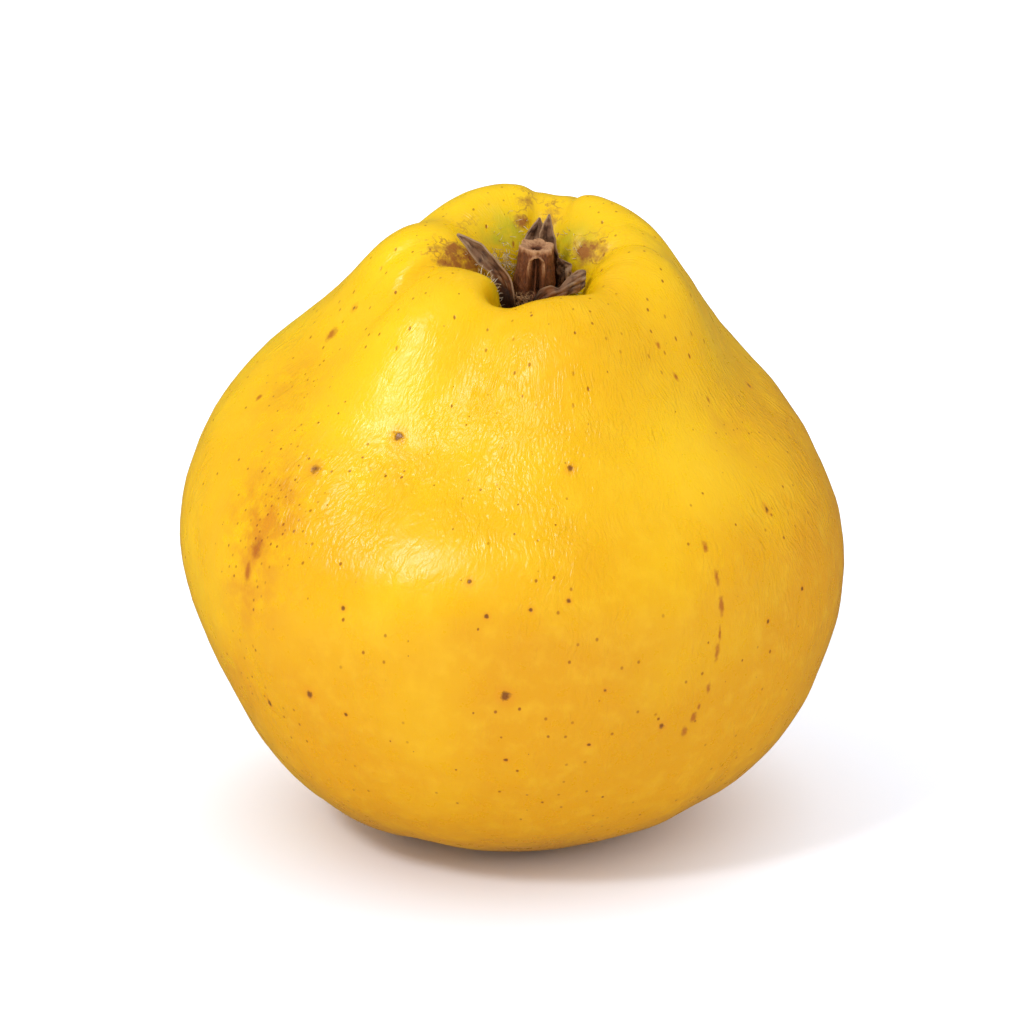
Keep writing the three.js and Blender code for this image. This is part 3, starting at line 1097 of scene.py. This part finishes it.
@dataclass
class WoodyStub:
    """The six-sided stub of the flower, with a pith hole in its top and a niche split out of its front.

    Lengths are in millimetres, from the stub's foot along its axis.
    """

    foot_radius: float = 2.75
    top_radius: float = 2.2
    pith_radius: float = 0.5
    pith_depth: float = 1.6
    niche_middle: float = 0.1  # how far to the right of the stub's front it is
    niche_width: float = 1.05  # from its middle to its edge
    niche_low: float = 3.0
    niche_high: float = 8.3
    niche_depth: float = 1.3
    lip_width: float = 0.35
    corner: float = 0.09  # how far the six corners stand out, as a share of the radius
    toe: float = 0.06  # and the five toes at the foot
    dish: float = 0.15  # how far the top sinks between its ridges
    steps: int = 120

    def build(self) -> bpy.types.Object:
        """Spin the stub's profile, carve it and dress it.

        Returns:
            The finished stub.
        """
        top = STUB_HEIGHT
        profile = [
            (0, 0),
            (self.foot_radius, 0),
            (self.foot_radius * 0.98, 0.45 * top),
            (self.top_radius * 1.03, 0.88 * top),
            (self.top_radius, top - 0.12),
            (self.top_radius * 0.93, top),
            (self.pith_radius * 1.6, top - 0.3),
            (self.pith_radius, top - 0.45),
            (self.pith_radius * 0.8, top - self.pith_depth),
            (0, top - self.pith_depth),
        ]
        cuts = (10, 44, 40, 4, 3, 12, 3, 6, 3)
        mesh = spun(profile, cuts, self.steps)
        # Paleness from wear on the top and the niche's lip, and painted shade in the niche and the pith
        # hole.
        wear_and_shade = mesh.verts.layers.float.new("wear_and_shade")
        for vertex in mesh.verts:
            lip = self._lip(vertex.co)
            vertex.co = self._carved(vertex.co)
            vertex[wear_and_shade] = self._wear_and_shade(vertex.co) + 0.5 * lip * smoothstep(4.5, 7.5, vertex.co.z)
        stand = Matrix.Translation((0, 0, STUB_LIFT)) @ Matrix.Rotation(STUB_ROLL, 4, "Y")
        bmesh.ops.transform(mesh, matrix=calyx_frame() @ stand, verts=mesh.verts)
        piece = new_piece("stub_of_bark", mesh)
        finish_piece(piece, DriedBark().material(), Slot.BARK, "woody_stub")
        return piece

    def _side(self, co: Vector) -> float:
        """Return how far a point is round the stub from the middle of its front, in millimetres."""
        turn = turn_between(math.degrees(math.atan2(co.y, co.x)), 270)
        return math.radians(turn) * self.foot_radius

    def _niche(self, co: Vector, wider: float = 0.0) -> float:
        """Return how deep in the niche a place on the side is, from 0 outside to 1 inside.

        Args:
            co: The place, in the stub's frame.
            wider: How far beyond its real edge the niche is taken to reach.

        Returns:
            The depth's share.
        """
        wide = self.niche_width + wider
        over = max(0.0, co.z - (self.niche_high - self.niche_width)) / wide
        arch = wide * math.sqrt(max(0.0, 1 - over**2))
        inside = smoothstep(arch + 0.05, arch - 0.25, abs(self._side(co) - self.niche_middle))
        above = smoothstep(self.niche_low - 1, self.niche_low + 1, co.z)
        return inside * above * smoothstep(1.0, 0.9, over)

    def _lip(self, co: Vector) -> float:
        """Return how much a place belongs to the niche's raised lip, from 0 to 1."""
        return self._niche(co, self.lip_width) * (1 - self._niche(co))

    def _carved(self, co: Vector) -> Vector:
        """Make the spun stub six-sided, split and furrowed.

        Args:
            co: A point of the spun stub.

        Returns:
            Where the point goes.
        """
        radius = math.hypot(co.x, co.y)
        if radius < 1e-6:
            return co
        turn = math.atan2(co.y, co.x)
        wave = math.cos(6 * (turn - math.radians(18)))  # 1 at the six corners
        outer = smoothstep(0.35, 0.9, radius / self.top_radius)
        high = smoothstep(0.75, 1.0, co.z / STUB_HEIGHT)
        side = outer * smoothstep(0.2, 1.5, co.z) * smoothstep(0.02, 0.5, STUB_HEIGHT - co.z)
        bark = noise.fractal(Vector((co.x * 1.6, co.y * 1.6, co.z * 0.35)), 0.8, 2.1, 3)
        niche = self._niche(co)
        column = bump(self._side(co), self.niche_middle, 0.38) * smoothstep(8.0, 6.8, co.z)
        fibres = 0.12 * noise.noise(Vector((self._side(co) * 7, co.z * 0.6, 1.0)))
        splinter = bump(self._side(co), 1.25 - 0.35 * (co.z - 6.5), 0.16) * bump(co.z, 7.2, 0.9)
        out = 0.2 * bark + 0.3 * self._lip(co) + 0.3 * splinter
        out -= niche * (self.niche_depth - (0.75 + fibres) * column)
        new_radius = radius * (1 + self.corner * wave * outer * (0.3 + 0.7 * high)) + out * side
        # The stub flares into five toes where the sepals begin.
        new_radius *= 1 + self.toe * math.cos(5 * turn) * smoothstep(2.5, 0.0, co.z)
        share = radius / self.top_radius
        ridge = max(0.0, wave) ** 6 * smoothstep(0.2, 0.5, share)
        lift = -self.dish * (1 - ridge) * smoothstep(0.95, 0.6, share)
        lift *= smoothstep(0.9, 0.97, co.z / STUB_HEIGHT)
        lift += (0.05 * wave * outer + 0.06 * noise.noise(Vector((co.x * 1.3, co.y * 1.3, 3.0)))) * high
        return Vector((math.cos(turn) * new_radius, math.sin(turn) * new_radius, co.z + lift))

    def _wear_and_shade(self, co: Vector) -> float:
        """Say how pale the bark is: most on the top's crests, and least in the niche and the pith hole,
        which are painted darker as shade.

        Args:
            co: A point of the carved stub.

        Returns:
            The paleness, about 0 to 1.
        """
        radius = math.hypot(co.x, co.y)
        on_top = smoothstep(0.9, 0.99, co.z / STUB_HEIGHT)
        # Painted shade: the niche is a little darker and the pith hole much darker, where shade falls in
        # them.
        deep = smoothstep(self.foot_radius - 0.5, self.foot_radius - 1.1, radius)
        hole = smoothstep(0.9, 0.35, radius / (2 * self.pith_radius)) * on_top
        return 0.3 + 0.55 * on_top - 0.1 * deep * (1 - on_top) - 0.9 * hole


@dataclass
class Sepal:
    """One dried sepal: a thin blade on a spine in the calyx's frame, cupped, veined and crumpled."""

    node: str
    spine: tuple[tuple[float, float, float], ...]
    edge: tuple[tuple[float, float, float], ...]  # from the spine to the blade's edge
    cup: float = 0.25
    curl: float = 0.0  # how far the edges roll over, as a share of the half width
    crumple: float = 0.35
    seed: int = 0
    thickness: float = 0.28
    rows: int = 44
    columns: int = 18

    def build(self, material: bpy.types.Material) -> bpy.types.Object:
        """Bend a grid along the spine, thicken it and dress it.

        Args:
            material: The blade's finish.

        Returns:
            The finished sepal.
        """
        mesh = bmesh.new()
        bmesh.ops.create_grid(mesh, x_segments=self.columns, y_segments=self.rows, size=1.0)
        blade = mesh.verts.layers.float_vector.new("blade")
        share = mesh.verts.layers.float_vector.new("share")
        length = (Vector(self.spine[-1]) - Vector(self.spine[0])).length
        for vertex in mesh.verts:
            across, t = vertex.co.x, (vertex.co.y + 1) / 2
            width = along(self.edge, t).length
            vertex[blade] = Vector((across * width, t * length, self.seed))
            vertex[share] = Vector((across, t, 0))
            vertex.co = self._bent(across, t)
        bmesh.ops.transform(mesh, matrix=calyx_frame(), verts=mesh.verts)
        piece = new_piece(self.node.replace("sepal", "dry_sepal"), mesh)
        solidify = piece.modifiers.new("Thickness", "SOLIDIFY")
        solidify.thickness = self.thickness * MM
        solidify.offset = 0.0
        apply_modifiers(piece)
        subdivide(piece, 1)
        finish_piece(piece, material, Slot.SEPAL, self.node)
        return piece

    def _bent(self, across: float, t: float) -> Vector:
        """Bend the flat blade.

        Args:
            across: The place across the blade, from -1 to 1.
            t: The place along it, from 0 at its foot to 1 at its tip.

        Returns:
            Where the place goes, in the calyx's frame.
        """
        centre = along(self.spine, t)
        tangent = (along(self.spine, t + 0.02) - along(self.spine, t - 0.02)).normalized()
        half = along(self.edge, t)
        up = half.cross(tangent).normalized()
        ragged = 1 + 0.16 * noise.noise(Vector((t * 9, math.copysign(4, across), self.seed)))
        lift = self.cup * across**2 + self.curl * across**6
        lift -= 0.25 * bump(across, 0, 0.14)  # the midrib is a gutter
        crease = noise.fractal(Vector((across * 1.3, t * 5, self.seed * 3.1)), 0.9, 2.0, 3)
        lift += self.crumple * crease * smoothstep(0.0, 0.15, t) * min(1.0, half.length)
        lift = lift * half.length if half.length > 0.2 else lift * 0.2
        return centre + half * across * ragged + up * lift


SEPALS = (
    Sepal(
        "sepal_left",
        (
            (-2.6, -2.4, 2.0),
            (-3.1, -2.4, 4.3),
            (-3.9, -1.7, 6.2),
            (-5.2, -0.8, 7.6),
            (-6.7, -0.1, 9.0),
            (-8.3, 0.6, 10.2),
            (-9.9, 1.3, 11.2),
        ),
        (
            (0.9, -0.7, -0.2),
            (1.2, -0.8, -0.2),
            (1.35, -0.5, -0.3),
            (0.95, -0.1, 0.5),
            (0.6, 0.1, 0.9),
            (0.35, 0.1, 0.55),
            (0.03, 0.0, 0.04),
        ),
        cup=0.35,
        curl=0.3,
        seed=1,
    ),
    Sepal(
        "sepal_back_left",
        ((-0.6, 3.2, 1.6), (-0.4, 3.6, 4.5), (0.0, 4.1, 8.0), (0.45, 4.3, 10.4), (0.9, 4.3, 12.3)),
        ((1.1, 0.1, 0), (1.8, 0.2, 0), (1.6, 0.1, 0.1), (1.15, 0.1, 0.1), (0.05, 0, 0)),
        cup=0.2,
        seed=2,
    ),
    Sepal(
        "sepal_back_right",
        (
            (2.5, 2.5, 1.6),
            (2.8, 3.0, 4.5),
            (2.4, 3.0, 7.5),
            (1.9, 2.8, 9.9),
            (1.95, 2.6, 11.8),
            (2.15, 2.4, 13.5),
        ),
        (
            (0.7, -0.6, 0.0),
            (1.0, -0.5, 0.0),
            (1.15, -0.3, 0.1),
            (1.1, -0.2, 0.1),
            (0.65, -0.1, 0.0),
            (0.02, 0.0, 0.0),
        ),
        cup=0.3,
        crumple=0.25,
        seed=3,
    ),
    Sepal(
        "sepal_right",
        ((3.3, 0.2, 1.1), (3.8, 0.4, 3), (4.0, 0.6, 5.2), (3.9, 0.8, 6.8), (3.5, 1.0, 7.9)),
        ((0.3, -0.8, 0), (0.6, -0.9, 0), (0.9, -0.6, 0.1), (0.9, -0.5, 0.1), (0.2, -0.1, 0)),
        cup=-0.3,
        crumple=0.7,
        seed=4,
    ),
    Sepal(
        "sepal_front_right",
        (
            (0.3, -3.9, 2.0),
            (0.9, -4.3, 3.9),
            (2.2, -4.3, 4.9),
            (3.5, -4.0, 5.2),
            (4.8, -3.4, 5.8),
            (6.0, -2.9, 6.3),
            (6.9, -2.6, 6.5),
        ),
        (
            (-0.6, 0.1, 0.6),
            (-0.5, 0.2, 1.1),
            (-0.2, 0.3, 1.1),
            (-0.1, 0.3, 0.55),
            (-0.2, 0.5, 0.9),
            (-0.1, 0.6, 1.3),
            (0.1, 0.4, 0.9),
        ),
        cup=0.35,
        crumple=0.5,
        seed=5,
    ),
)


@dataclass(frozen=True)
class Tuft:
    """A tangle of withered stamens: where it lies in the calyx's frame, and how big it is."""

    name: str
    node: str
    at: tuple[float, float, float]
    size: tuple[float, float, float]
    threads: int
    length: float
    radius: float = 0.05
    seed: int = 0
    joints: int = 7  # in each thread
    wild: float = 0.75  # how much it turns at each joint
    pull: float = 0.25  # how strongly it is drawn back to the tangle's middle

    def build(self, material: bpy.types.Material) -> bpy.types.Object:
        """Grow the curly threads and dress them.

        Args:
            material: The threads' finish.

        Returns:
            The finished tangle.
        """
        rng = random.Random(self.seed)
        strands = []
        for _ in range(self.threads):
            spread = Vector([rng.gauss(0, 0.5) * s for s in self.size])
            start = Vector(self.at) + spread
            heading = Vector([rng.gauss(0, 1) for _ in range(3)]).normalized()
            strand = [start]
            step = self.length / self.joints
            for _ in range(self.joints):
                heading = (heading + self.wild * Vector([rng.gauss(0, 1) for _ in range(3)])).normalized()
                pull = (Vector(self.at) - strand[-1]) * self.pull
                strand.append(strand[-1] + heading * step + pull * step)
            strands.append(strand)
        return build_threads(self.name, strands, self.radius, material, Slot.STAMEN, self.node)


def build_threads(
    name: str,
    strands: Sequence[Sequence[Vector]],
    radius: float,
    material: bpy.types.Material,
    slot: Slot,
    *nodes: str,
) -> bpy.types.Object:
    """Make fine closed threads that taper to their tips, as one piece.

    Args:
        name: The piece's name.
        strands: Each thread's points in the calyx's frame, from foot to tip.
        radius: The threads' radius at the foot, in millimetres.
        material: Their finish.
        slot: The record's slot of that finish.
        nodes: The CAD nodes that they replace.

    Returns:
        The finished piece.
    """
    curve = bpy.data.curves.new(name, "CURVE")
    curve.dimensions = "3D"
    curve.bevel_depth = radius * MM
    curve.bevel_resolution = 0
    curve.use_fill_caps = True
    to_row = calyx_frame()
    for strand in strands:
        spline = curve.splines.new("POLY")
        spline.points.add(len(strand) - 1)
        for i, p in enumerate(strand):
            spline.points[i].co = (*(to_row @ p), 1.0)
            spline.points[i].radius = 1.0 - 0.7 * i / (len(strand) - 1)
    wires = bpy.data.objects.new(name + "_wires", curve)
    bpy.context.scene.collection.objects.link(wires)
    graph = bpy.context.evaluated_depsgraph_get()
    data = bpy.data.meshes.new_from_object(wires.evaluated_get(graph))
    bpy.data.objects.remove(wires)
    mesh = bmesh.new()
    mesh.from_mesh(data)
    bmesh.ops.remove_doubles(mesh, verts=mesh.verts, dist=0.0005 * MM)
    piece = new_piece(name, mesh)
    finish_piece(piece, material, slot, *nodes)
    return piece


TUFTS = (
    Tuft(
        "withered_stamens_left",
        "stamen_tuft_left",
        at=(-3.4, 3.0, 6.6),
        size=(2.4, 0.9, 2.4),
        threads=30,
        length=4.0,
        radius=0.06,
        seed=11,
    ),
    Tuft(
        "withered_stamens_front",
        "stamen_tuft_front",
        at=(-1.2, -3.9, 3.8),
        size=(1.0, 0.7, 1.1),
        threads=60,
        length=2.4,
        radius=0.07,
        seed=12,
    ),
)


@dataclass
class BasinDown:
    """The short woolly down that is left round the calyx, thickest along the basin's front lip."""

    hairs: int = 520
    length: float = 1.3
    radius: float = 0.045
    on_lip: float = 0.6  # the share of the hairs along the front lip
    lip: tuple[float, float] = (186.0, 292.0)  # the lip's azimuths, in degrees about the stub's foot

    def build(self, fruit: bpy.types.Object, material: bpy.types.Material) -> bpy.types.Object:
        """Grow the hairs from the skin and dress them.

        Args:
            fruit: The finished fruit.
            material: The hairs' finish.

        Returns:
            The finished down.
        """
        surface = surface_of(fruit.data)
        to_calyx = calyx_frame().inverted()
        rng = random.Random(SEED)
        strands = []
        while len(strands) < self.hairs:
            front = rng.random() < self.on_lip
            turn = math.radians(rng.uniform(*self.lip) if front else rng.uniform(0, 360))
            out = rng.uniform(4.0, 9.0) if front else rng.uniform(3.5, 7.0)
            start, heading = OnCrown(out * math.cos(turn), out * math.sin(turn)).line()
            root, normal = surface.ray_cast(start, heading)[:2]
            lean = Vector((-math.cos(turn), -math.sin(turn), 0.4))
            wild = Vector([rng.gauss(0, 0.45) for _ in range(3)])
            length = self.length * rng.uniform(0.4, 1.2)
            way = (normal + 0.6 * lean + wild).normalized()
            bent = (way + Vector([rng.gauss(0, 0.5) for _ in range(3)])).normalized()
            points = (root - normal * 0.1, root + way * length * 0.5, root + (way + bent) * length * 0.5)
            strands.append([to_calyx @ (p * MM) for p in points])
        return build_threads("basin_down", strands, self.radius, material, Slot.STAMEN)


@dataclass
class StalkStump:
    """The broken stalk in the dimple underneath."""

    radius: float = 1.9
    cuts: int = 6
    steps: int = 48
    rough: float = 0.06  # how far the bark's furrows change the radius
    wear_and_shade: float = 0.4

    def build(self) -> bpy.types.Object:
        """Spin the stump, roughen it and dress it.

        Returns:
            The finished stump.
        """
        low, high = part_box("stalk_stump")
        middle = (low + high) / 2
        half = (high.z - low.z) / 2 / MM
        outline = [
            (0, half),
            (0.8, half),
            (1.0, half - 0.3),
            (0.828, -half + 0.5),
            (0.756, -half),
            (0.225, -half + 0.35),
            (0, -half + 0.3),
        ]
        profile = [(share * self.radius, height) for share, height in outline]
        mesh = spun(profile, [self.cuts] * (len(profile) - 1), self.steps)
        for vertex in mesh.verts:
            co = vertex.co
            grain = noise.fractal(Vector((co.x * 2.2, co.y * 2.2, co.z * 0.5)), 0.8, 2.0, 3)
            swell = 1 + self.rough * grain
            vertex.co = Vector((co.x * swell, co.y * swell, co.z))
        bmesh.ops.transform(mesh, matrix=Matrix.Translation(middle) @ Matrix.Scale(MM, 4), verts=mesh.verts)
        piece = new_piece("broken_stalk", mesh)
        attribute = piece.data.attributes.new("wear_and_shade", "FLOAT", "POINT")
        attribute.data.foreach_set("value", [self.wear_and_shade] * len(piece.data.vertices))
        finish_piece(piece, DriedBark(name="broken_wood").material(), Slot.BARK, "stalk_stump")
        return piece


# ---------------------------------------------------------------- the studio


@dataclass
class Studio:
    """The white table, the softbox, the room and the camera. Lengths are in millimetres."""

    floor_size: float = 6000.0
    softbox_at: tuple[float, float, float] = (-585.0, -700.0, 920.0)
    softbox_side: float = 190.0
    softbox_watts: float = 5.6
    room: tuple[float, float] = (0.9, 1.08)  # how bright it is on the viewer's side and behind the fruit
    mirrored: float = 0.08  # the share of the room that shines in the skin
    aim: tuple[float, float, float] = (0.0, 0.35, 43.0)
    distance: float = 390.0
    elevation: float = 16.0
    lens: float = 100.0

    def build(self) -> None:
        """Set the table, the lights, the world and the camera."""
        scene = bpy.context.scene
        scene.view_settings.view_transform = "Standard"
        self._floor()
        self._softbox()
        scene.world = self._room()
        self._camera()

    def _room(self) -> bpy.types.World:
        """Make a white room that is dimmer on the viewer's side, and plain white to look at.

        Returns:
            The room, as a world.
        """
        world = bpy.data.worlds.new("white_room")
        world.use_nodes = True
        tree = world.node_tree
        tree.nodes.clear()
        towards = add_node(tree, "SeparateXYZ", {0: add_node(tree, "TexCoord").outputs["Generated"]})
        towards = towards.outputs["Y"]
        near, far = self.room
        light = add_node(
            tree,
            "MapRange",
            {"Value": towards, "From Min": -0.8, "From Max": 0.3, "To Min": near, "To Max": far},
        )
        # The skin mirrors less of the room than lights it, as behind a polarising filter.
        path = add_node(tree, "LightPath")
        mirrored = add_node(
            tree,
            "MapRange",
            {"Value": path.outputs["Is Glossy Ray"], "To Min": 1.0, "To Max": self.mirrored},
        )
        light = add_node(tree, "Math", {0: light, 1: mirrored}, operation="MULTIPLY")
        strength = add_node(tree, "Math", {0: light, 1: path.outputs["Is Camera Ray"]}, operation="MAXIMUM")
        room = add_node(tree, "Background", {"Color": (0.97, 0.99, 1.0, 1), "Strength": strength})
        add_node(tree, "OutputWorld", {"Surface": room})
        return world

    def _floor(self) -> None:
        """Lay the white table."""
        mesh = bmesh.new()
        bmesh.ops.create_grid(mesh, x_segments=1, y_segments=1, size=self.floor_size * MM / 2)
        floor = new_piece("table", mesh, smooth=False)
        material, tree = new_material("white_table")
        # Painted light: the table glows a cool white away from the fruit, from 0.1 m out so that it stays
        # white out to the horizon, and from 22 mm out, which lifts and cools the fruit's cast shadow.
        place = add_node(tree, "TexCoord").outputs["Object"]
        away = add_node(tree, "VectorMath", {0: place, 1: (-0.006, 0.003, 0)}, operation="DISTANCE")
        away = away.outputs["Value"]
        glow = add_node(tree, "MapRange", {"Value": away, "From Min": 0.1, "From Max": 0.6, "To Max": 0.35})
        # painted light that lifts and cools the cast shadow, from 22 mm out
        near = add_node(
            tree, "MapRange", {"Value": away, "From Min": 0.022, "From Max": 0.05, "To Max": 0.24}
        )
        glow = add_node(tree, "Math", {0: glow, 1: near}, operation="ADD")
        shader = add_node(
            tree,
            "BsdfPrincipled",
            {
                "Base Color": linear_colour("#eff2fb"),
                "Roughness": 0.9,
                "Specular IOR Level": 0.1,
                "Emission Color": (0.85, 0.96, 1.1, 1),
                "Emission Strength": glow,
            },
        )
        add_node(tree, "OutputMaterial", {"Surface": shader})
        floor.data.materials.append(material)
        floor.visible_glossy = False  # so that the skin stays deep in colour low down

    def _softbox(self) -> None:
        """Hang the softbox over the viewer's left shoulder, facing the fruit."""
        light = bpy.data.lights.new("overhead_softbox", "AREA")
        light.shape = "RECTANGLE"
        light.size = light.size_y = self.softbox_side * MM
        light.energy = self.softbox_watts
        lamp = bpy.data.objects.new("overhead_softbox", light)
        lamp.location = Vector(self.softbox_at) * MM
        towards = Vector(self.aim) * MM - lamp.location
        lamp.rotation_euler = towards.to_track_quat("-Z", "Y").to_euler()
        bpy.context.scene.collection.objects.link(lamp)

    def _camera(self) -> None:
        """Place the camera in front of the fruit, looking a little down."""
        data = bpy.data.cameras.new("camera")
        data.lens = self.lens
        camera = bpy.data.objects.new("camera", data)
        tilt = math.radians(self.elevation)
        back = Vector((0, -math.cos(tilt), math.sin(tilt)))
        camera.location = (Vector(self.aim) + back * self.distance) * MM
        camera.rotation_euler = (-back).to_track_quat("-Z", "Y").to_euler()
        bpy.context.scene.collection.objects.link(camera)
        bpy.context.scene.camera = camera


def main() -> None:
    """Build every piece in order."""
    logging.basicConfig(level=logging.INFO, format="%(name)s: %(message)s")
    random.seed(SEED)
    fruit = Fruit().build()
    WoodyStub().build()
    sepal_finish = DriedSepal().material()
    for sepal in SEPALS:
        sepal.build(sepal_finish)
    threads = DryThread().material()
    felt = DryThread(name="brown_felt", pale="#a98058", brown="#5d3c22").material()
    for tuft, finish in zip(TUFTS, (threads, felt)):
        tuft.build(finish)
    down = DryThread(name="pale_down", pale="#f0e5cc", brown="#c8aa78").material()
    BasinDown().build(fruit, down)
    StalkStump().build()
    Studio().build()


if __name__ == "__main__":
    main()
